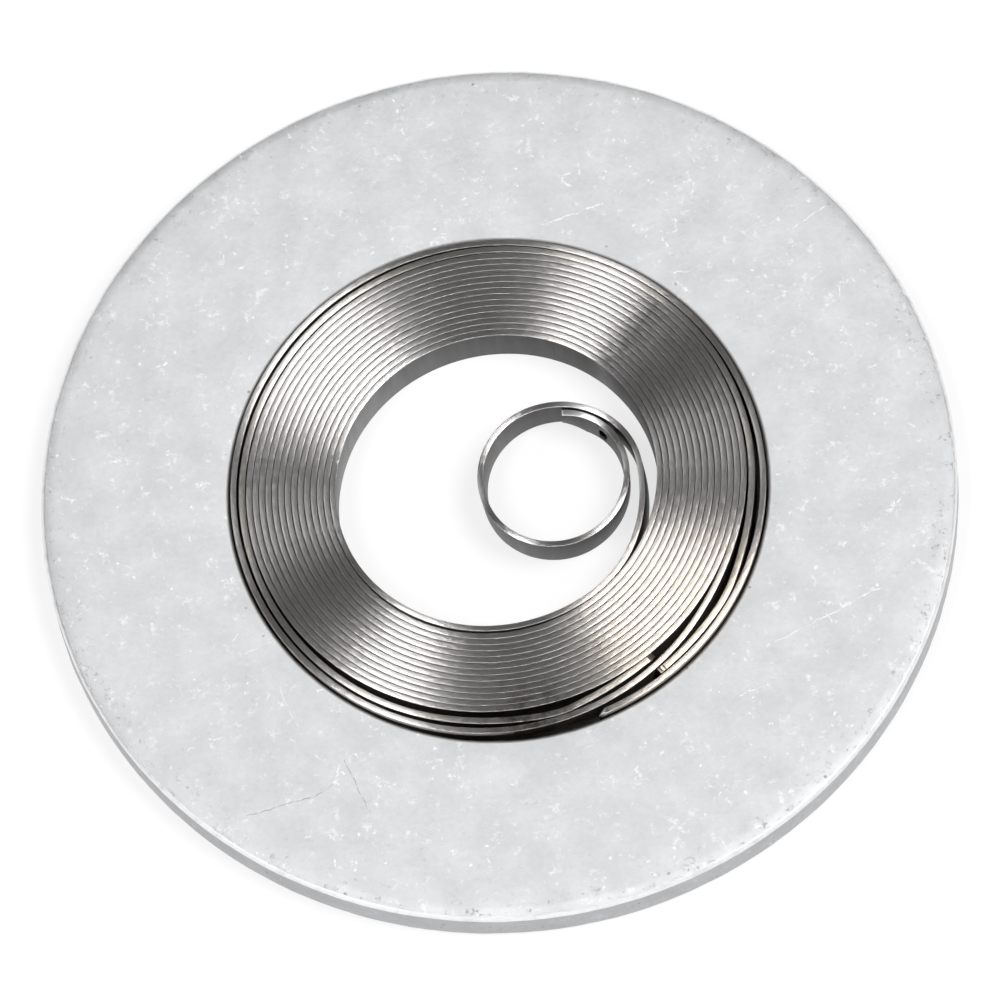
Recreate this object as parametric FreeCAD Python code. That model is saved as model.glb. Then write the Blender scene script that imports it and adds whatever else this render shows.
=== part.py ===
import FreeCAD, Part
import math
import os

# A coiled watch mainspring held flat in its round storage washer.
# Sizes are in millimetres, angles in degrees, counter-clockwise seen from above.
# The origin is on the washer's axis at its underside, and +Z points out of the top face.

# Storage washer
washer_diameter = 17.1
hole_diameter = 10.0
washer_thickness = 0.82
rim_round = 0.27
edge_bevel = 0.12

# Spring strip
strip_thickness = 0.108
strip_height = 0.93
turn_gap = 0.012
outer_end_angle = 284.5
outer_end_slant = 0.9

# Last turn: the angles where it leaves the hole wall, bends least and meets the wound coil
leave_wall_angle = 585
dip_angle = 678
meet_coil_angle = 698

# Wound coil: an oval of four arcs a turn, each arc a quarter of the pitch smaller than the last
coil_centre = FreeCAD.Vector(-0.05, 0.09, 0)
coil_slack = 0.072
oval_angle = 30
oval_offset = 0.132
quarter_turns = 54

# Free inner length, as bend radius and sweep: upright, then twisting over into the eye's lean
free_bends = [(2.83, 32), (2.67, 18), (2.95, 49), (3.25, 32)]
twist_bends = [(2.38, 39), (2.89, 30)]

# Eye coil: bend radius if it closed on itself, and sweep
# It leans one way over its first layer, turns over two bends and leans another way at the tip.
first_layer_bends = [(1.39, 35), (1.59, 62), (1.47, 106), (1.27, 12)]
turning_bends = [(1.45, 74), (1.5, 81)]
tip_bend = (1.28, 69)
eye_lean = FreeCAD.Vector(-0.045, -0.075, 0)
tip_lean = FreeCAD.Vector(0.01, -0.12, 0)
tip_taper = 0.42
taper_sweep = 24
slot_width = 0.2
slot_height = 0.35
slot_sweep = 25

# Bridle: an open ring, as bend radius beyond its reach, and sweep, from its outer end
bridle_thickness = 0.12
bridle_height = 0.93
bridle_centre = FreeCAD.Vector(-0.672, 0.759, 0)
bridle_end_angle = 302
bridle_bends = [
    (0.99, 16), (-2.05, 14), (1.62, 18), (-0.2, 35), (-0.13, 35), (-0.06, 45), (0.06, 40),
    (-0.06, 40), (-0.05, 35), (-0.49, 32), (0.71, 21), (-3.27, 14), (1.97, 15.6),
]

# Worked out from the hole wall inwards
pitch = strip_thickness + turn_gap
last_turn_radius = hole_diameter / 2 - turn_gap - strip_thickness / 2
bridle_reach = last_turn_radius - strip_thickness / 2 - turn_gap - bridle_thickness / 2
coil_radius = bridle_reach - bridle_thickness / 2 - turn_gap - strip_thickness / 2 - coil_slack


def toward(angle):
    """Unit vector at an angle from +X."""
    return FreeCAD.Vector(math.cos(math.radians(angle)), math.sin(math.radians(angle)), 0)


def follow(path, bends):
    """Carry a path of (centre, radius, start, end) arcs on, tangent at every joint."""
    for radius, sweep in bends:
        centre, old_radius, _, start = path[-1]
        path.append((centre + toward(start) * (old_radius - radius), radius, start, start + sweep))


def follow_shifted(path, bends, shift):
    """Follow two bends with their radii changed so that the path ends aside by a shift."""
    start = path[-1][3]
    stops = [start, start + bends[0][1], start + bends[0][1] + bends[1][1]]
    extra = two_radii(shift, *stops)
    follow(path, [(bend[0] + more, bend[1]) for bend, more in zip(bends, extra)])


def cross(a, b):
    """Third component of the cross product of two flat vectors."""
    return a.x * b.y - a.y * b.x


def two_radii(step, start, middle, end):
    """Radii of two arcs, from start to middle to end angle, whose chords add up to a step."""
    first = toward(middle) - toward(start)
    second = toward(end) - toward(middle)
    both = cross(first, second)
    return cross(step, second) / both, cross(first, step) / both


def quarter_radius(k):
    """Radius of the wound coil's k-th quarter: flat sides and tight ends by turns."""
    return coil_radius - k * pitch / 4 + (oval_offset if k % 2 else -oval_offset)


def outer_path():
    """Centre line from the outer end, round the hole wall and in to the end of the wound coil."""
    first_boundary = oval_angle + 720 - 45
    tight_centre = (
        coil_centre
        + toward(first_boundary + 90) * (oval_offset - pitch / 8)
        - toward(first_boundary + 180) * (oval_offset + pitch / 8)
    )
    lead_radius = quarter_radius(-1)
    lead_centre = tight_centre - toward(first_boundary) * (lead_radius - quarter_radius(0))
    step = (
        lead_centre
        + toward(meet_coil_angle) * lead_radius
        - toward(leave_wall_angle) * last_turn_radius
    )
    dip_radii = two_radii(step, leave_wall_angle, dip_angle, meet_coil_angle)
    path = [(FreeCAD.Vector(), last_turn_radius, outer_end_angle, leave_wall_angle)]
    follow(path, [
        (dip_radii[0], dip_angle - leave_wall_angle),
        (dip_radii[1], meet_coil_angle - dip_angle),
        (lead_radius, first_boundary - meet_coil_angle),
    ])
    follow(path, [(quarter_radius(k), 90) for k in range(quarter_turns)])
    return path


def eye_bends():
    """Eye bends as built: each is a pitch smaller for every turn already made."""
    turned = 0
    bends = []
    for radius, sweep in first_layer_bends + turning_bends + [tip_bend]:
        bends.append((radius - pitch * (turned + sweep / 2) / 360, sweep))
        turned += sweep
    return bends


def outline(path, thickness, z, slant=0):
    """Closed wire round a path: its outer side, its end, its inner side, its start."""
    sides = []
    for offset, shift in ((thickness / 2, -slant), (-thickness / 2, slant)):
        side = []
        for i, (centre, radius, start, end) in enumerate(path):
            first = start + shift if i == 0 else start
            stops = [first, (first + end) / 2, end]
            side.append([centre + toward(a) * (radius + offset) + FreeCAD.Vector(0, 0, z) for a in stops])
        sides.append(side)
    outer, inner = sides
    edges = [Part.Arc(*points).toShape() for points in outer]
    edges.append(Part.makeLine(outer[-1][2], inner[-1][2]))
    edges += [Part.Arc(*points[::-1]).toShape() for points in inner[::-1]]
    edges.append(Part.makeLine(inner[0][0], outer[0][0]))
    return Part.Wire(edges)


def on_tip(foot, angle, up):
    """Place on the tip's middle surface, by its angle and the part of its height above the foot."""
    centre, radius = foot[-1][:2]
    return centre + toward(angle) * radius + (tip_lean + FreeCAD.Vector(0, 0, strip_height)) * up


def through_tip(edges, angle):
    """Cutter through the tip's thickness from a closed outline on its middle surface."""
    face = Part.Face(Part.Wire(edges))
    reach = toward(angle) * strip_thickness * 2
    face.translate(reach * -1)
    return face.extrude(reach * 2)


def tip_slot(foot):
    """Cutter for the slot that hooks on the arbor, leaning with the tip."""
    angle = foot[-1][2] + slot_sweep
    lean = tip_lean + FreeCAD.Vector(0, 0, strip_height)
    along = toward(angle + 90) * (slot_width / 2)
    up = lean / lean.Length
    straight = up * (slot_height / 2 - slot_width / 2)
    crown = up * (slot_height / 2)
    middle = on_tip(foot, angle, 0.5)
    corners = [middle + along + straight, middle - along + straight,
               middle - along - straight, middle + along - straight]
    return through_tip([
        Part.Arc(corners[0], middle + crown, corners[1]).toShape(),
        Part.makeLine(corners[1], corners[2]),
        Part.Arc(corners[2], middle - crown, corners[3]).toShape(),
        Part.makeLine(corners[3], corners[0]),
    ], angle)


def tip_corner(foot):
    """Cutter for the tip's lower corner, a triangle that reaches past the strip's end."""
    end = foot[-1][3]
    beyond = 2
    reach = tip_taper / strip_height * beyond
    corners = [
        on_tip(foot, end - taper_sweep, 0),
        on_tip(foot, end + taper_sweep * (beyond - 1), -reach),
        on_tip(foot, end + taper_sweep * (beyond - 1), reach),
    ]
    return through_tip(Part.makePolygon(corners + corners[:1]).Edges, end)


def mainspring():
    """One strip: upright where it is wound, twisted over where it runs into the leaning eye."""
    upright = outer_path()
    follow(upright, free_bends)
    rise = FreeCAD.Vector(0, 0, strip_height)
    wound = Part.Face(outline(upright, strip_thickness, 0, outer_end_slant)).extrude(rise)

    bends = eye_bends()
    top = upright[-1:]
    follow(top, twist_bends + bends)
    foot = upright[-1:]
    follow_shifted(foot, twist_bends, eye_lean * -1)
    follow(foot, bends[:4])
    follow_shifted(foot, bends[4:6], eye_lean - tip_lean)
    follow(foot, bends[6:])
    coil, tip = [
        Part.makeLoft(
            [outline(low, strip_thickness, 0), outline(high, strip_thickness, strip_height)],
            True, True,
        )
        for low, high in ((foot[1:-1], top[1:-1]), (foot[-1:], top[-1:]))
    ]
    tip = tip.cut([tip_slot(foot), tip_corner(foot)])
    return wound.fuse([coil, tip]).removeSplitter()


def bridle():
    """Open ring of stiffer strip, its ends either side of the last turn's dip."""
    (first, sweep), *rest = [(bridle_reach + beyond, sweep) for beyond, sweep in bridle_bends]
    path = [(bridle_centre, first, bridle_end_angle, bridle_end_angle + sweep)]
    follow(path, rest)
    face = Part.Face(outline(path, bridle_thickness, 0))
    return face.extrude(FreeCAD.Vector(0, 0, bridle_height))


def washer():
    """Flat ring, turned from its section: the rim's upper edge is round, the others bevelled."""
    inner = hole_diameter / 2
    outer = washer_diameter / 2
    upper = washer_thickness - rim_round * (1 - math.sqrt(0.5))
    section = [
        (outer, washer_thickness - rim_round), (outer - washer_thickness + upper, upper),
        (outer - rim_round, washer_thickness), (inner + edge_bevel, washer_thickness),
        (inner, washer_thickness - edge_bevel), (inner, edge_bevel), (inner + edge_bevel, 0),
        (outer - edge_bevel, 0), (outer, edge_bevel),
    ]
    points = [FreeCAD.Vector(x, 0, z) for x, z in section]
    edges = [Part.Arc(*points[:3]).toShape()]
    edges += [Part.makeLine(a, b) for a, b in zip(points[2:], points[3:] + points[:1])]
    face = Part.Face(Part.Wire(edges))
    return face.revolve(FreeCAD.Vector(), FreeCAD.Vector(0, 0, 1), 360)


os.makedirs("parts", exist_ok=True)
for name, build in (("washer", washer), ("mainspring", mainspring), ("bridle", bridle)):
    shape = build()
    shape.exportStep("parts/" + name + ".step")
    print(name, len(shape.Solids), shape.isValid(), round(shape.Volume, 3), shape.BoundBox)
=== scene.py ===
import math

import bmesh
import bpy
from mathutils import Matrix, Vector, noise


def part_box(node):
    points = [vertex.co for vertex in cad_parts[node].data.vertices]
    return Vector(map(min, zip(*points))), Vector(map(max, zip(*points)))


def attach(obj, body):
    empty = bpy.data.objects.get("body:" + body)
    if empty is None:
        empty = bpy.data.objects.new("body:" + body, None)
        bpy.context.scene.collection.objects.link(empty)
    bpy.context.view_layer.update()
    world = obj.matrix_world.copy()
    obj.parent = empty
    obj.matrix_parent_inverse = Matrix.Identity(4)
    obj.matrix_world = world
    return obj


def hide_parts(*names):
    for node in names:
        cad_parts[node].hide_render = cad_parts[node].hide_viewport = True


# A millimetre in metres, and where the meshes' noise starts
MM = 0.001
SEED = 7.3

# Washer, in millimetres: its edges, how deep and how far in their wear goes, and its steps round
RIM_SLOPE = 0.22
RIM_BEVEL = 0.07
BEVEL_DEPTH = 0.1
HOLE_ROUND = 0.09
LOWER_ROUND = 0.12
EDGE_WEAR = 0.02
WEAR_REACH = 0.3
WASHER_STEPS = 720

# The washer's long scratches, as start, end, half width, and whether each is dark
SCRATCHES = [
    ((-5.53, -5.65), (-4.19, -5.49), 0.016, True), ((-4.19, -5.49), (-3.86, -5.28), 0.014, True),
    ((-3.86, -5.28), (-3.61, -4.88), 0.013, False), ((-3.61, -4.88), (-3.26, -5.98), 0.012, True),
    ((-5.1, -2.49), (-4.61, -2.33), 0.012, False), ((-4.59, -3.25), (-4.34, -4.11), 0.01, False),
    ((1.58, 5.12), (2.77, 5.39), 0.02, False), ((6.17, 4.2), (6.89, 4.61), 0.02, False),
    ((3.88, 3.72), (4.25, 3.76), 0.02, False), ((4.59, -3.92), (6.7, -3.18), 0.016, False),
    ((3.77, -4.86), (4.48, -4.66), 0.016, False),
]

# Strip, in millimetres and degrees: the same driving sizes as the solids
STRIP_THICKNESS = 0.108
TURN_GAP = 0.012
OUTER_END = 284.5
OUTER_END_SLANT = 0.9
LEAVE_WALL = 585
DIP = 678
MEET_COIL = 698
COIL_CENTRE = Vector((-0.05, 0.09, 0))
COIL_SLACK = 0.072
OVAL_ANGLE = 30
OVAL_OFFSET = 0.132
QUARTER_TURNS = 54
FREE_BENDS = [(2.83, 32), (2.67, 18), (2.95, 49), (3.25, 32)]
TWIST_BENDS = [(2.38, 39), (2.89, 30)]
FIRST_LAYER_BENDS = [(1.39, 35), (1.59, 62), (1.47, 106), (1.27, 12)]
TURNING_BENDS = [(1.45, 74), (1.5, 81)]
TIP_BEND = (1.28, 69)
EYE_LEAN = Vector((-0.045, -0.075, 0))
TIP_LEAN = Vector((0.01, -0.12, 0))
TIP_TAPER = 0.42
TAPER_SWEEP = 24
SLOT_WIDTH = 0.2
SLOT_HEIGHT = 0.35
SLOT_SWEEP = 25

# Bridle
BRIDLE_THICKNESS = 0.12
BRIDLE_CENTRE = Vector((-0.672, 0.759, 0))
BRIDLE_END = 302
BRIDLE_BENDS = [
    (0.99, 16), (-2.05, 14), (1.62, 18), (-0.2, 35), (-0.13, 35), (-0.06, 45), (0.06, 40),
    (-0.06, 40), (-0.05, 35), (-0.49, 32), (0.71, 21), (-3.27, 14), (1.97, 15.6),
]

# Strip meshes: sections as thickness, corner radius and crown, how far the foot wanders up,
# and the angle of a step in degrees
SPRING_SECTION = (STRIP_THICKNESS + 0.001, 0.009, 0.003)
BRIDLE_SECTION = (BRIDLE_THICKNESS, 0.012, 0.004)
FOOT_WANDER = 0.012
STRIP_STEP = 1.5

# Where the strip's looks change: height of its crest, and distance from the washer's axis
CREST_FROM = 0.895
PROUD_FROM = 0.80
WOUND_FROM = 3.05
OUTERMOST_FROM = 4.9

# Colours
WHITE_METAL = (0.97, 0.97, 0.97, 1)
WASHER_CLOUD = [(0.3, (0.66, 0.666, 0.674)), (0.7, (0.765, 0.77, 0.777))]
WASHER_DARK = (0.27, 0.26, 0.24, 1)
# Painted shade for the washer's side wall, multiplied onto its colour
WASHER_SIDE_SHADE = (0.79, 0.79, 0.80, 1)
# Painted shade for the groove at the washer's hole
HOLE_GROOVE_SHADE = (0.13, 0.12, 0.11, 1)
# Crest colour, then wall colour, of the spring and the bridle; the wall colour is painted shade
# between the turns
SPRING_COLOURS = ((0.68, 0.66, 0.65), (0.06, 0.054, 0.048))
BRIDLE_COLOURS = ((0.69, 0.66, 0.625), (0.055, 0.048, 0.04))
STRIP_DIRT = (0.16, 0.13, 0.08, 1)
STRIP_OIL = (1.03, 0.96, 0.85, 1)
# Painted shade for the band where a bright lobe on the coil ends
LOBE_END_SHADE = (0.2, 0.19, 0.2, 1)
# Painted highlight for the crest of the eye's tip
TIP_HIGHLIGHT_WHITE = (0.97, 0.96, 0.95, 1)

# Camera: its sensor in millimetres, the picture's side and the washer's top centre in pixels,
# and the view on that centre, in pixels, metres and degrees
SENSOR = 36
PICTURE = 1001
CENTRE_PX = (497.63, 487.43)
FOCAL_PX = 11034.2
CAMERA_DISTANCE = 0.2052
CAMERA_ELEVATION = 67.55
CAMERA_ROLL = -9.10

# Lamps: their distance in metres, then the flat part of each one's direction, the way its long
# side runs, its length and width beside that distance, and its brightness beside a white floor's
LAMP_DISTANCE = 0.7
LAMPS = {
    "lamp_left": ((-0.37, -0.17), (-0.545, -0.84), 0.40, 0.23, 13.2),
    "lamp_right": ((0.44, -0.075), (0.695, -0.719), 0.46, 0.42, 12.0),
    "lamp_rear": ((-0.464, 0.358), (-0.9, -0.43), 0.30, 0.13, 4.0),
    "lamp_front_left": ((-0.54, -0.76), (0.82, -0.57), 1.8, 0.4, 1.5),
    "lamp_front_right": ((0.69, -0.62), (0.67, 0.74), 1.6, 0.4, 1.2),
}
WORLD_GREY = (0.12, 0.12, 0.12, 1)

# Floor: the part of its white that shade doesn't dim, and the ring in millimetres that has none
FLOOR_GLOW = 0.75
FLOOR_COVERED = (3.6, 8.3)


# Paths


def toward(angle):
    """Unit vector at an angle from +X, in degrees."""
    return Vector((math.cos(math.radians(angle)), math.sin(math.radians(angle)), 0))


def follow(path, bends):
    """Carry a path of (centre, radius, start, end) arcs on, tangent at every joint."""
    for radius, sweep in bends:
        centre, old_radius, _, start = path[-1]
        path.append((centre + toward(start) * (old_radius - radius), radius, start, start + sweep))


def cross(a, b):
    """Third component of the cross product of two flat vectors."""
    return a.x * b.y - a.y * b.x


def two_radii(step, start, middle, end):
    """Radii of two arcs, from start to middle to end angle, whose chords add up to a step."""
    first = toward(middle) - toward(start)
    second = toward(end) - toward(middle)
    both = cross(first, second)
    return cross(step, second) / both, cross(first, step) / both


def follow_shifted(path, bends, shift):
    """Follow two bends with their radii changed so that the path ends aside by a shift."""
    start = path[-1][3]
    extra = two_radii(shift, start, start + bends[0][1], start + bends[0][1] + bends[1][1])
    follow(path, [(bend[0] + more, bend[1]) for bend, more in zip(bends, extra)])


class Sizes:
    """Sizes read from the frame's solids, in millimetres, and what follows from them."""

    def __init__(self):
        low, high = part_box("washer")
        self.washer_radius = (high[0] - low[0]) / 2 / MM
        self.washer_height = (high[2] - low[2]) / MM
        low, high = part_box("mainspring")
        self.strip_height = (high[2] - low[2]) / MM
        self.last_turn = (high[0] - low[0]) / 2 / MM - STRIP_THICKNESS / 2
        self.hole_radius = self.last_turn + STRIP_THICKNESS / 2 + TURN_GAP
        self.pitch = STRIP_THICKNESS + TURN_GAP
        self.bridle_reach = self.last_turn - STRIP_THICKNESS / 2 - TURN_GAP - BRIDLE_THICKNESS / 2
        self.coil_radius = (
            self.bridle_reach - BRIDLE_THICKNESS / 2 - TURN_GAP - STRIP_THICKNESS / 2 - COIL_SLACK
        )

    def quarter(self, k):
        """Radius of the wound coil's k-th quarter."""
        return self.coil_radius - k * self.pitch / 4 + (OVAL_OFFSET if k % 2 else -OVAL_OFFSET)


def spring_paths(size):
    """The strip's foot and crest: upright in the coil, leaning over in the eye."""
    boundary = OVAL_ANGLE + 720 - 45
    tight_centre = (
        COIL_CENTRE
        + toward(boundary + 90) * (OVAL_OFFSET - size.pitch / 8)
        - toward(boundary + 180) * (OVAL_OFFSET + size.pitch / 8)
    )
    lead = size.quarter(-1)
    lead_centre = tight_centre - toward(boundary) * (lead - size.quarter(0))
    step = lead_centre + toward(MEET_COIL) * lead - toward(LEAVE_WALL) * size.last_turn
    dip = two_radii(step, LEAVE_WALL, DIP, MEET_COIL)
    foot = [(Vector(), size.last_turn, OUTER_END, LEAVE_WALL)]
    follow(foot, [(dip[0], DIP - LEAVE_WALL), (dip[1], MEET_COIL - DIP), (lead, boundary - MEET_COIL)])
    follow(foot, [(size.quarter(k), 90) for k in range(QUARTER_TURNS)])
    follow(foot, FREE_BENDS)
    turned = 0
    bends = []
    for radius, sweep in FIRST_LAYER_BENDS + TURNING_BENDS + [TIP_BEND]:
        bends.append((radius - size.pitch * (turned + sweep / 2) / 360, sweep))
        turned += sweep
    crest = list(foot)
    follow(crest, TWIST_BENDS + bends)
    turning = len(FIRST_LAYER_BENDS)
    tip = turning + len(TURNING_BENDS)
    follow_shifted(foot, TWIST_BENDS, EYE_LEAN * -1)
    follow(foot, bends[:turning])
    follow_shifted(foot, bends[turning:tip], EYE_LEAN - TIP_LEAN)
    follow(foot, bends[tip:])
    return foot, crest


def bridle_path(size):
    """The bridle's centre line."""
    bends = [(size.bridle_reach + beyond, sweep) for beyond, sweep in BRIDLE_BENDS]
    path = [(BRIDLE_CENTRE, bends[0][0], BRIDLE_END, BRIDLE_END + bends[0][1])]
    follow(path, bends[1:])
    return path


# Meshes


def strip_section(height, thickness, corner, crown):
    """Section of the strip as (across, up) points, anticlockwise from the foot's inner side."""
    half = thickness / 2
    flat = half - corner
    top = []
    for turn in (0, 30, 60, 90):
        a = math.radians(turn)
        top.append((flat + corner * math.cos(a), height - crown - corner * (1 - math.sin(a))))
    top.append((flat / 2, height - crown / 4))
    top.append((0, height))
    top += [(-across, up) for across, up in top[4::-1]]
    return [(-across, height - up) for across, up in top] + top


def finish_piece(bm, name):
    """Piece in the scene from a mesh being built, its faces turned outwards."""
    bmesh.ops.recalc_face_normals(bm, faces=bm.faces)
    mesh = bpy.data.meshes.new(name)
    bm.to_mesh(mesh)
    bm.free()
    piece = bpy.data.objects.new(name, mesh)
    bpy.context.collection.objects.link(piece)
    return piece


def sweep(name, foot, crest, section, height, slant=0.0, wander=0.0, taper=0.0):
    """Strip swept along two matching arc paths, one at its foot and one at its crest."""
    rings = []
    for i, (low, high) in enumerate(zip(foot, crest)):
        count = max(2, math.ceil((low[3] - low[2]) / STRIP_STEP))
        first = 0 if i == 0 else 1
        for k in range(first, count + 1):
            angle = low[2] + (low[3] - low[2]) * k / count
            out = toward(angle)
            rings.append((angle, low[0] + out * low[1], high[0] + out * high[1]))
    bm = bmesh.new()
    uv = bm.loops.layers.uv.new("strip")
    loops = []
    travel = []
    length = 0
    waves = 0.35
    for i, (angle, low, high) in enumerate(rings):
        if i:
            length += (low - rings[i - 1][1]).length
        travel.append(length)
        out = toward(angle)
        sag = wander * (0.5 + 0.5 * noise.noise(Vector((length * waves, SEED, 0))))
        cut = taper * max(0, 1 - (foot[-1][3] - angle) / TAPER_SWEEP)
        row = []
        for across, up in section:
            level = cut + min(max(up - sag * up / height, 0), height) * (1 - cut / height)
            skew = -slant * across / STRIP_THICKNESS * 2 if i == 0 else 0
            outward = toward(angle + skew)
            base = low + (high - low) * (level / height) + (outward - out) * low.length
            row.append(bm.verts.new((base + outward * across + Vector((0, 0, level))) * MM))
        loops.append(row)
    n = len(section)
    for i in range(len(loops) - 1):
        for j in range(n):
            a, b = j, (j + 1) % n
            face = bm.faces.new((loops[i][a], loops[i][b], loops[i + 1][b], loops[i + 1][a]))
            face.smooth = True
            for loop, (u, v) in zip(face.loops, ((i, a), (i, a + 1), (i + 1, a + 1), (i + 1, a))):
                loop[uv].uv = (travel[u] * MM, v / n)
    for row in (loops[0][::-1], loops[-1]):
        bm.faces.new(row)
    return finish_piece(bm, name)


def cut_slot(piece, arc, height):
    """Cut the arbor's slot through the innermost layer of the eye."""
    centre, radius, start, _ = arc
    angle = start + SLOT_SWEEP
    steps = 8
    lean = TIP_LEAN + Vector((0, 0, height))
    side = toward(angle + 90)
    up = lean.normalized()
    middle = centre + toward(angle) * (radius - STRIP_THICKNESS) + lean / 2
    depth = toward(angle) * (STRIP_THICKNESS * 1.5 + TURN_GAP / 2)
    outline = []
    for sign in (1, -1):
        for i in range(steps + 1):
            a = math.radians(180 * i / steps)
            crown = up * (SLOT_HEIGHT / 2 - SLOT_WIDTH / 2 + SLOT_WIDTH / 2 * math.sin(a))
            outline.append(middle + (side * (SLOT_WIDTH / 2 * math.cos(a)) + crown) * sign)
    bm = bmesh.new()
    near = [bm.verts.new(p * MM) for p in outline]
    far = [bm.verts.new((p + depth) * MM) for p in outline]
    bm.faces.new(near)
    bm.faces.new(far[::-1])
    for i in range(len(outline)):
        k = (i + 1) % len(outline)
        bm.faces.new((near[i], far[i], far[k], near[k]))
    cutter = finish_piece(bm, "slot_cutter")
    cut = piece.modifiers.new("slot", "BOOLEAN")
    cut.operation = "DIFFERENCE"
    cut.solver = "EXACT"
    cut.object = cutter
    bpy.context.view_layer.objects.active = piece
    bpy.ops.object.modifier_apply(modifier=cut.name)
    bpy.data.objects.remove(cutter)


def make_washer(size):
    """Lathed ring with rounded edges, very slightly out of true along them from wear."""
    inner, outer, height = size.hole_radius, size.washer_radius, size.washer_height
    profile = []

    def arc(cx, cz, radius, start, end, steps):
        for i in range(steps + 1):
            a = math.radians(start + (end - start) * i / steps)
            profile.append((cx + radius * math.cos(a), cz + radius * math.sin(a)))

    arc(inner + HOLE_ROUND, HOLE_ROUND, HOLE_ROUND, 180, 270, 6)
    inside, outside = inner + 0.6, outer - 0.8
    profile.extend([(inside, 0), (outside, 0)])
    arc(outer - LOWER_ROUND, LOWER_ROUND, LOWER_ROUND, 270, 360, 5)
    profile.extend([
        (outer, height - BEVEL_DEPTH - 0.015), (outer - 0.006, height - BEVEL_DEPTH),
        (outer - RIM_BEVEL + 0.01, height - 0.04), (outer - RIM_BEVEL - 0.01, height - 0.028),
        (outer - RIM_SLOPE, height - 0.005), (outer - RIM_SLOPE - 0.05, height),
        (outside, height), (inside, height),
    ])
    arc(inner + HOLE_ROUND, height - HOLE_ROUND, HOLE_ROUND, 90, 180, 6)
    bm = bmesh.new()
    rings = []
    for k in range(WASHER_STEPS):
        out = toward(360 * k / WASHER_STEPS)
        ring = []
        for r, z in profile:
            edge = max(0, 1 - min(abs(r - inner), abs(r - outer)) / WEAR_REACH)
            coarse = noise.noise(Vector((out.x * 9, out.y * 9, z * 3 + SEED)))
            fine = noise.noise(Vector((out.x * 34, out.y * 34, z * 5 - SEED)))
            dent = EDGE_WEAR * edge * (0.5 + 0.3 * coarse + 0.3 * fine)
            towards_body = 1 if r < (inner + outer) / 2 else -1
            ring.append(bm.verts.new((out * (r + towards_body * dent) + Vector((0, 0, z))) * MM))
        rings.append(ring)
    n = len(profile)
    for k in range(WASHER_STEPS):
        here, there = rings[k], rings[(k + 1) % WASHER_STEPS]
        for j in range(n):
            a, b = j, (j + 1) % n
            bm.faces.new((here[a], here[b], there[b], there[a])).smooth = True
    return finish_piece(bm, "washer_ring")


# Materials


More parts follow.
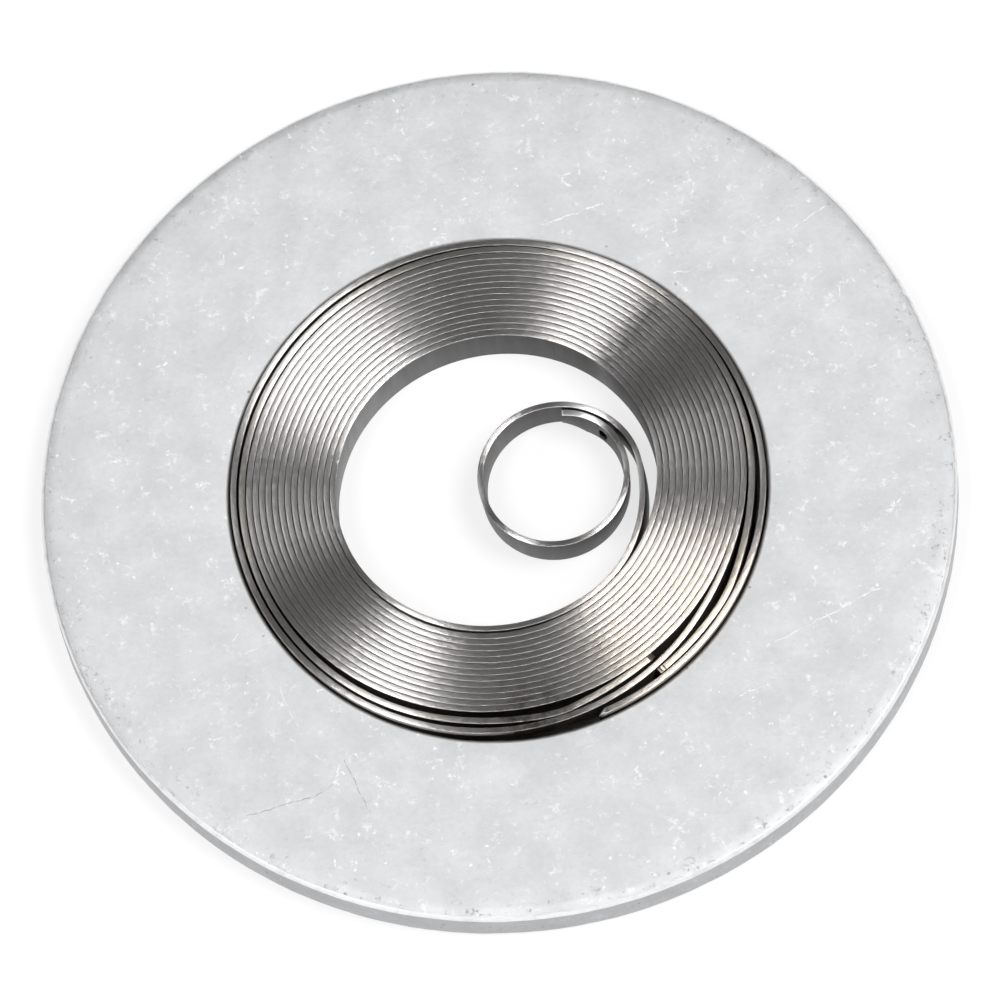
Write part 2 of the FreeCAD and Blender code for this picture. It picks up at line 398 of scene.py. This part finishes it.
class Nodes:
    """A metal or paper material, and short ways to add and link its shader nodes."""

    def __init__(self, name):
        self.material = bpy.data.materials.new(name)
        self.material.use_nodes = True
        self.tree = self.material.node_tree
        self.shader = self.tree.nodes["Principled BSDF"]

    def add(self, kind, inputs=None, **settings):
        """New node with its inputs linked or set."""
        node = self.tree.nodes.new(kind)
        for key, value in settings.items():
            setattr(node, key, value)
        for key, value in (inputs or {}).items():
            self.put(node.inputs[key], value)
        return node

    def put(self, socket, value):
        """Link a socket to another one, or set its value."""
        if isinstance(value, bpy.types.NodeSocket):
            self.tree.links.new(value, socket)
        else:
            socket.default_value = value

    def math(self, operation, a, b=0.0, clamp=False):
        """Result of one operation on two numbers."""
        node = self.add("ShaderNodeMath", operation=operation, use_clamp=clamp)
        self.put(node.inputs[0], a)
        self.put(node.inputs[1], b)
        return node.outputs[0]

    def vector(self, operation, a, b=None, result=0):
        """Result of one operation on one or two vectors."""
        inputs = {0: a} if b is None else {0: a, 1: b}
        return self.add("ShaderNodeVectorMath", inputs, operation=operation).outputs[result]

    def place(self):
        """Place on the object, in metres."""
        return self.add("ShaderNodeTexCoord").outputs["Object"]

    def coordinate(self, letter):
        """One coordinate of the place."""
        return self.add("ShaderNodeSeparateXYZ", {0: self.place()}).outputs[letter]

    def off_axis(self):
        """Distance from the washer's axis."""
        return self.vector("LENGTH", self.vector("MULTIPLY", self.place(), (1, 1, 0)), result="Value")

    def above(self, value, start, blend):
        """0 up to a start, then up to 1 over a blend, both in millimetres."""
        return self.math("DIVIDE", self.math("SUBTRACT", value, start * MM), blend * MM, True)

    def below(self, value, end, blend):
        """1 a blend before an end, then down to 0 at it, both in millimetres."""
        return self.math("DIVIDE", self.math("SUBTRACT", end * MM, value), blend * MM, True)

    def spot(self, centre, reach, core):
        """1 within a core of the reach round a centre in millimetres, fading to 0 at the reach."""
        away = self.vector("DISTANCE", self.place(), Vector(centre) * MM, "Value")
        return self.ramp(self.math("DIVIDE", away, reach * MM), [(core, 1.0), (1.0, 0.0)])

    def along_strip(self, scale, detail):
        """Noise drawn out along the strip, by its scales along and round the section."""
        uv = self.add("ShaderNodeUVMap", uv_map="strip").outputs["UV"]
        drawn = self.add("ShaderNodeMapping", {"Vector": uv, "Scale": scale + (1,)}).outputs[0]
        inputs = {"Vector": drawn, "Scale": 1.0, "Detail": detail}
        return self.add("ShaderNodeTexNoise", inputs).outputs["Fac"]

    def noise(self, scale, detail, rough=0.55):
        """Noise whose scale is in features per millimetre."""
        inputs = {"Vector": self.place(), "Scale": scale / MM, "Detail": detail, "Roughness": rough}
        return self.add("ShaderNodeTexNoise", inputs).outputs["Fac"]

    def voronoi(self, scale, feature, vector=None):
        """Cells whose scale is in features per millimetre."""
        inputs = {"Scale": scale / MM, "Vector": vector or self.place()}
        return self.add("ShaderNodeTexVoronoi", inputs, feature=feature)

    def ramp(self, value, stops):
        """Colour ramp from (position, grey or colour) stops."""
        node = self.add("ShaderNodeValToRGB", {"Fac": value})
        while len(node.color_ramp.elements) < len(stops):
            node.color_ramp.elements.new(0.5)
        for element, (position, colour) in zip(node.color_ramp.elements, stops):
            element.position = position
            rgb = (colour,) * 3 if isinstance(colour, (int, float)) else tuple(colour)
            element.color = rgb + (1,)
        return node.outputs["Color"]

    def mix(self, fac, a, b, blend="MIX"):
        """Two colours mixed by a factor."""
        node = self.add("ShaderNodeMix", data_type="RGBA", blend_type=blend)
        self.put(node.inputs[0], fac)
        self.put(node.inputs[6], a)
        self.put(node.inputs[7], b)
        return node.outputs[2]

    def bump(self, height, distance, after=None):
        """Normal bent by a height that is up to a distance in millimetres."""
        inputs = {"Height": height, "Distance": distance * MM, "Strength": 1.0}
        node = self.add("ShaderNodeBump", inputs)
        if after is not None:
            self.put(node.inputs["Normal"], after)
        return node.outputs["Normal"]

    def wavy(self, scale, reach):
        """Place shifted by noise, up to a reach in millimetres, so that lines on it wander."""
        inputs = {"Scale": scale / MM, "Detail": 3.0, "Vector": self.place()}
        noise_colour = self.add("ShaderNodeTexNoise", inputs).outputs["Color"]
        even = self.vector("SUBTRACT", noise_colour, (0.5, 0.5, 0.5))
        inputs = {0: even, "Scale": reach * 2 * MM}
        shift = self.add("ShaderNodeVectorMath", inputs, operation="SCALE").outputs[0]
        return self.vector("ADD", self.place(), shift)

    def scratch(self, place, start, end, width):
        """Mask that is 1 on a straight scratch between two places in millimetres."""
        a, b = Vector(start + (0,)) * MM, Vector(end + (0,)) * MM
        along = (b - a).normalized()
        across = Vector((-along.y, along.x, 0))
        from_start = self.vector("SUBTRACT", place, a)
        run = self.vector("DOT_PRODUCT", from_start, along, "Value")
        aside = self.math("ABSOLUTE", self.vector("DOT_PRODUCT", from_start, across, "Value"))
        line = self.math("SUBTRACT", 1.0, self.math("DIVIDE", aside, width * MM), True)
        started = self.math("GREATER_THAN", run, 0.0)
        ended = self.math("LESS_THAN", run, (b - a).length)
        return self.math("MULTIPLY", line, self.math("MULTIPLY", started, ended))


def white_marks(n, wavy):
    """Mask of the washer's bright nicks, specks and smears."""
    patchy = n.ramp(n.noise(2.1, 3), [(0.56, 0.0), (0.64, 1.0)])
    broken = n.ramp(n.noise(7.5, 3), [(0.53, 0.0), (0.59, 1.0)])
    edges = n.voronoi(2.9, "DISTANCE_TO_EDGE", wavy).outputs["Distance"]
    thin = n.ramp(edges, [(0.0, 1.0), (0.07, 0.0)])
    nicks = n.math("MULTIPLY", thin, n.math("MULTIPLY", patchy, broken))
    cells = n.voronoi(3.3, "F1", n.wavy(6, 0.08))
    chosen = n.ramp(cells.outputs["Color"], [(0.60, 0.0), (0.66, 1.0)])
    small = n.ramp(cells.outputs["Distance"], [(0.04, 1.0), (0.13, 0.0)])
    specks = n.math("MULTIPLY", small, chosen)
    smears = n.ramp(n.noise(4.2, 6, 0.75), [(0.57, 0.0), (0.68, 1.0)])
    sharp = n.math("MULTIPLY", n.math("MAXIMUM", nicks, specks), 0.75)
    return n.math("MAXIMUM", sharp, n.math("MULTIPLY", smears, 0.5))


def dark_marks(n, near_rim, near_hole):
    """Mask of the washer's pits and stains, stronger near its edges."""
    near_edge = n.math("MAXIMUM", near_rim, near_hole)
    cells = n.voronoi(5.1, "F1")
    chosen = n.ramp(cells.outputs["Color"], [(0.80, 0.0), (0.82, 1.0)])
    small = n.ramp(cells.outputs["Distance"], [(0.08, 1.0), (0.2, 0.0)])
    pits = n.math("MULTIPLY", small, chosen)
    pits = n.math("MULTIPLY", pits, n.math("ADD", 0.12, n.math("MULTIPLY", near_edge, 0.6)))
    stains = n.ramp(n.noise(8, 6, 0.8), [(0.58, 0.0), (0.68, 1.0)])
    stains = n.math("MULTIPLY", stains, n.math("ADD", 0.1, n.math("MULTIPLY", near_rim, 0.4)))
    return n.math("MAXIMUM", pits, stains)


def washer_material(size):
    """Tumbled aluminium: softly mottled, with nicks, specks, pits and a few long scratches, a painted
    highlight on the rim bevel, and painted shade on the side wall and in the hole's groove.
    """
    n = Nodes("tumbled_aluminium")
    radius = n.off_axis()
    height = n.coordinate("Z")
    near_rim = n.above(radius, size.washer_radius - 0.6, 0.4)
    near_hole = n.below(radius, size.hole_radius + 0.5, 0.4)

    grain = n.ramp(n.noise(7, 4, 0.7), [(0.3, 0.95), (0.62, 1.0)])
    colour = n.mix(1.0, n.ramp(n.noise(1.5, 6, 0.65), WASHER_CLOUD), grain, "MULTIPLY")
    wavy = n.wavy(3.5, 0.09)
    colour = n.mix(white_marks(n, wavy), colour, WHITE_METAL)

    dark = dark_marks(n, near_rim, near_hole)
    dashes = n.ramp(n.noise(6, 3), [(0.42, 0.15), (0.55, 1.0)])
    for start, end, width, is_dark in SCRATCHES:
        line = n.math("MULTIPLY", n.scratch(wavy, start, end, width), dashes)
        if is_dark:
            dark = n.math("MAXIMUM", dark, n.math("MULTIPLY", line, 0.5))
        else:
            colour = n.mix(n.math("MULTIPLY", line, 0.8), colour, WHITE_METAL)
    colour = n.mix(dark, colour, WASHER_DARK)

    outside = n.math("GREATER_THAN", radius, (size.washer_radius - RIM_BEVEL - 0.012) * MM)
    upper = n.math("GREATER_THAN", height, (size.washer_height - RIM_BEVEL - 0.04) * MM)
    bevel = n.math("MULTIPLY", outside, upper)
    # Painted shade: the side wall below the bevel is coloured darker than the top
    side = n.math("MULTIPLY", outside, n.math("SUBTRACT", 1.0, upper))
    colour = n.mix(side, colour, n.mix(1.0, colour, WASHER_SIDE_SHADE, "MULTIPLY"))
    # Painted highlight: the rim bevel's colour is made nearly white, patchy by noise
    bevel_highlight = n.math("MULTIPLY", bevel, n.ramp(n.noise(4, 3), [(0.35, 0.6), (0.5, 1.0)]))
    colour = n.mix(bevel_highlight, colour, WHITE_METAL)
    # Painted shade: the hole's rounded edge and wall, in the groove beside the spring, are coloured
    # dark
    oil_tint_and_groove_shade = n.below(radius, size.hole_radius + HOLE_ROUND, 0.05)
    colour = n.mix(n.math("MULTIPLY", oil_tint_and_groove_shade, 0.85), colour, HOLE_GROOVE_SHADE)

    n.put(n.shader.inputs["Base Color"], colour)
    n.shader.inputs["Metallic"].default_value = 1.0
    rough = n.ramp(n.noise(3, 4), [(0.3, 0.68), (0.7, 0.80)])
    n.put(n.shader.inputs["Roughness"], n.mix(bevel, rough, (0.45, 0.45, 0.45, 1)))
    normal = n.bump(n.noise(2.2, 5, 0.6), 0.010)
    normal = n.bump(n.noise(12, 4, 0.6), 0.002, after=normal)
    normal = n.bump(n.math("SUBTRACT", 1.0, dark), 0.008, after=normal)
    n.put(n.shader.inputs["Normal"], normal)
    return n.material


def strip_colour(n, crest, colours, dirtiness):
    """Bright crest and a wall in painted shade, a little dirt and oil where the coil was handled, a
    painted shade band and a painted highlight.
    """
    crest_colour, wall_shade_colour = colours
    wound = n.above(n.off_axis(), WOUND_FROM, 0.12)
    # Painted shade: inside the wound coil the walls grow darker from -X towards +X
    across = n.math("ADD", 0.5, n.math("DIVIDE", n.coordinate("X"), 8 * MM))
    eye_wall_shade = n.ramp(across, [(0.15, 0.22), (0.5, 0.125), (0.68, 0.085), (0.86, 0.012)])
    # Walls in the wound coil take the wall colour, painted shade for the gaps between the turns
    wall = n.mix(wound, eye_wall_shade, wall_shade_colour + (1,))
    base = n.mix(crest, wall, crest_colour + (1,))
    tone = n.ramp(n.along_strip((6000, 14), 3.0), [(0.3, 0.80), (0.7, 1.05)])
    base = n.mix(1.0, base, tone, "MULTIPLY")

    patches = n.ramp(n.noise(4, 4, 0.6), [(0.4, 0.0), (0.6, 1.0)])
    dirt = n.math("MULTIPLY", n.spot((0.0, -4.78, 0.9), 1.1, 0.25), patches)
    base = n.mix(n.math("MULTIPLY", dirt, dirtiness), base, STRIP_DIRT)
    oil_tint_and_groove_shade = n.spot((3.1, -3.4, 0.9), 2.6, 0.4)
    base = n.mix(oil_tint_and_groove_shade, base, n.mix(1.0, base, STRIP_OIL, "MULTIPLY"))
    patches = n.ramp(n.noise(5, 5, 0.7), [(0.35, 0.3), (0.6, 1.0)])
    # Painted shade: a patchy dark band across the turns where a bright lobe of the coil ends
    lobe_end_shade = n.math("MULTIPLY", n.scratch(n.place(), (2.2, 1.95), (3.5, 3.15), 0.36), patches)
    base = n.mix(n.math("MULTIPLY", lobe_end_shade, 0.75), base, LOBE_END_SHADE)
    # Painted highlight: the crest near the eye's tip is coloured near white
    tip_highlight = n.math("MULTIPLY", crest, n.spot((1.7, 1.2, 0.9), 0.6, 0.5))
    return n.mix(tip_highlight, base, TIP_HIGHLIGHT_WHITE)


def strip_material(name, colours, dirtiness):
    """Drawn strip: walls darkened as painted shade, and a crest lapped bright by fine lines along it.
    """
    n = Nodes(name)
    height = n.coordinate("Z")
    # Walls below the crest get painted shade, except where the outermost turn stands proud of the
    # washer
    outermost = n.math("GREATER_THAN", n.off_axis(), OUTERMOST_FROM * MM)
    proud = n.math("MULTIPLY", outermost, n.above(height, PROUD_FROM, 0.02))
    crest = n.math("MAXIMUM", n.above(height, CREST_FROM, 0.02), proud)
    n.put(n.shader.inputs["Base Color"], strip_colour(n, crest, colours, dirtiness))
    n.shader.inputs["Metallic"].default_value = 1.0
    n.put(n.shader.inputs["Roughness"], n.ramp(n.noise(3, 3), [(0.3, 0.285), (0.7, 0.30)]))
    n.shader.inputs["Anisotropic"].default_value = 1.0
    n.shader.inputs["Anisotropic Rotation"].default_value = 0.25
    tangent = n.add("ShaderNodeTangent", direction_type="UV_MAP", uv_map="strip")
    n.put(n.shader.inputs["Tangent"], tangent.outputs["Tangent"])
    normal = n.bump(n.along_strip((2600, 0.5), 2.0), 0.0025)
    normal = n.bump(n.along_strip((6000, 14), 3.0), 0.005, after=normal)
    n.put(n.shader.inputs["Normal"], normal)
    return n.material


def floor_material():
    """White paper that stays white to camera and metal alike, but not in the gaps of the coil."""
    n = Nodes("pale_floor")
    n.shader.inputs["Base Color"].default_value = (0.9, 0.9, 0.9, 1)
    n.shader.inputs["Roughness"].default_value = 1.0
    n.shader.inputs["Specular IOR Level"].default_value = 0.0
    path = n.add("ShaderNodeLightPath")
    seen = n.math("MAXIMUM", path.outputs["Is Camera Ray"], path.outputs["Is Glossy Ray"])
    white = n.add("ShaderNodeEmission", {"Color": (1, 1, 1, 1), "Strength": 1.0})
    radius = n.off_axis()
    inner, outer = FLOOR_COVERED
    covered = n.math("MULTIPLY", n.above(radius, inner, 0.2), n.below(radius, outer, 0.2))
    seen = n.math("MULTIPLY", seen, n.math("SUBTRACT", 1.0, covered))
    mixed = n.add("ShaderNodeMixShader", {0: n.math("MULTIPLY", seen, FLOOR_GLOW)})
    n.tree.links.new(n.shader.outputs[0], mixed.inputs[1])
    n.tree.links.new(white.outputs[0], mixed.inputs[2])
    n.tree.links.new(mixed.outputs[0], n.tree.nodes["Material Output"].inputs["Surface"])
    return n.material


# Stage


def add_lamp(name, across, along, length, width, strength):
    """Overhead soft light: its direction's flat part, the way its long side runs, and its size."""
    data = bpy.data.lights.new(name, "AREA")
    data.shape = "RECTANGLE"
    data.size = width * LAMP_DISTANCE
    data.size_y = length * LAMP_DISTANCE
    data.energy = strength * math.pi * data.size * data.size_y
    lamp = bpy.data.objects.new(name, data)
    x, y = across
    away = Vector((x, y, math.sqrt(1 - x * x - y * y)))
    side = Vector(along + (0,)).cross(away).normalized()
    turn = Matrix((side, away.cross(side), away)).transposed().to_4x4()
    lamp.matrix_world = Matrix.Translation(away * LAMP_DISTANCE) @ turn
    bpy.context.collection.objects.link(lamp)


def set_stage():
    """Pale floor, soft lamps, and a world that is white to the camera alone."""
    bpy.ops.mesh.primitive_plane_add(size=3, location=(0, 0, 0))
    floor = bpy.context.object
    floor.name = "floor"
    floor.data.materials.append(floor_material())
    for name, (across, along, length, width, strength) in LAMPS.items():
        add_lamp(name, across, along, length, width, strength)
    world = bpy.data.worlds.new("studio")
    bpy.context.scene.world = world
    world.use_nodes = True
    tree = world.node_tree
    back = tree.nodes["Background"]
    path = tree.nodes.new("ShaderNodeLightPath")
    seen = tree.nodes.new("ShaderNodeMix")
    seen.data_type = "RGBA"
    seen.inputs[6].default_value = WORLD_GREY
    seen.inputs[7].default_value = (1, 1, 1, 1)
    tree.links.new(path.outputs["Is Camera Ray"], seen.inputs[0])
    tree.links.new(seen.outputs[2], back.inputs["Color"])


def set_camera(size):
    """Camera over the washer's top centre, at the picture's angle and roll."""
    data = bpy.data.cameras.new("camera")
    data.sensor_width = SENSOR
    data.lens = SENSOR * FOCAL_PX / PICTURE
    data.shift_x = (PICTURE / 2 - 0.5 - CENTRE_PX[0]) / PICTURE
    data.shift_y = (CENTRE_PX[1] - PICTURE / 2 + 0.5) / PICTURE
    data.clip_start = 0.01
    data.clip_end = 10
    camera = bpy.data.objects.new("camera", data)
    turn = Matrix.Rotation(math.radians(90 - CAMERA_ELEVATION), 4, "X")
    roll = Matrix.Rotation(math.radians(CAMERA_ROLL), 4, "Z")
    aim = Vector((0, 0, size.washer_height * MM))
    back = turn @ Vector((0, 0, CAMERA_DISTANCE))
    camera.matrix_world = Matrix.Translation(aim + back) @ turn @ roll
    bpy.context.collection.objects.link(camera)
    scene = bpy.context.scene
    scene.camera = camera
    scene.view_settings.view_transform = "Standard"


# Build


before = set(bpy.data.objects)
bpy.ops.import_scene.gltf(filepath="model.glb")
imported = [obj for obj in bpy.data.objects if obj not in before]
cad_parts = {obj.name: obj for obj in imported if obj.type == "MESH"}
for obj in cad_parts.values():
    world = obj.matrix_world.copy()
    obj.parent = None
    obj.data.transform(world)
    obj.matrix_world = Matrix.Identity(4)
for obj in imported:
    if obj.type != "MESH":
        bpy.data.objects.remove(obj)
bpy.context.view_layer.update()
size = Sizes()

washer = make_washer(size)
washer.data.materials.append(washer_material(size))
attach(washer, "root")
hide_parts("washer")

foot, crest = spring_paths(size)
section = strip_section(size.strip_height, *SPRING_SECTION)
spring = sweep("wound_strip", foot, crest, section, size.strip_height,
               slant=OUTER_END_SLANT, wander=FOOT_WANDER, taper=TIP_TAPER)
cut_slot(spring, foot[-1], size.strip_height)
spring.data.materials.append(strip_material("spring_steel", SPRING_COLOURS, 0.8))
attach(spring, "root")
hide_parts("mainspring")

line = bridle_path(size)
section = strip_section(size.strip_height, *BRIDLE_SECTION)
ring = sweep("bridle_strip", line, line, section, size.strip_height, wander=FOOT_WANDER)
ring.data.materials.append(strip_material("bridle_steel", BRIDLE_COLOURS, 1.0))
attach(ring, "root")
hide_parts("bridle")

set_camera(size)
set_stage()
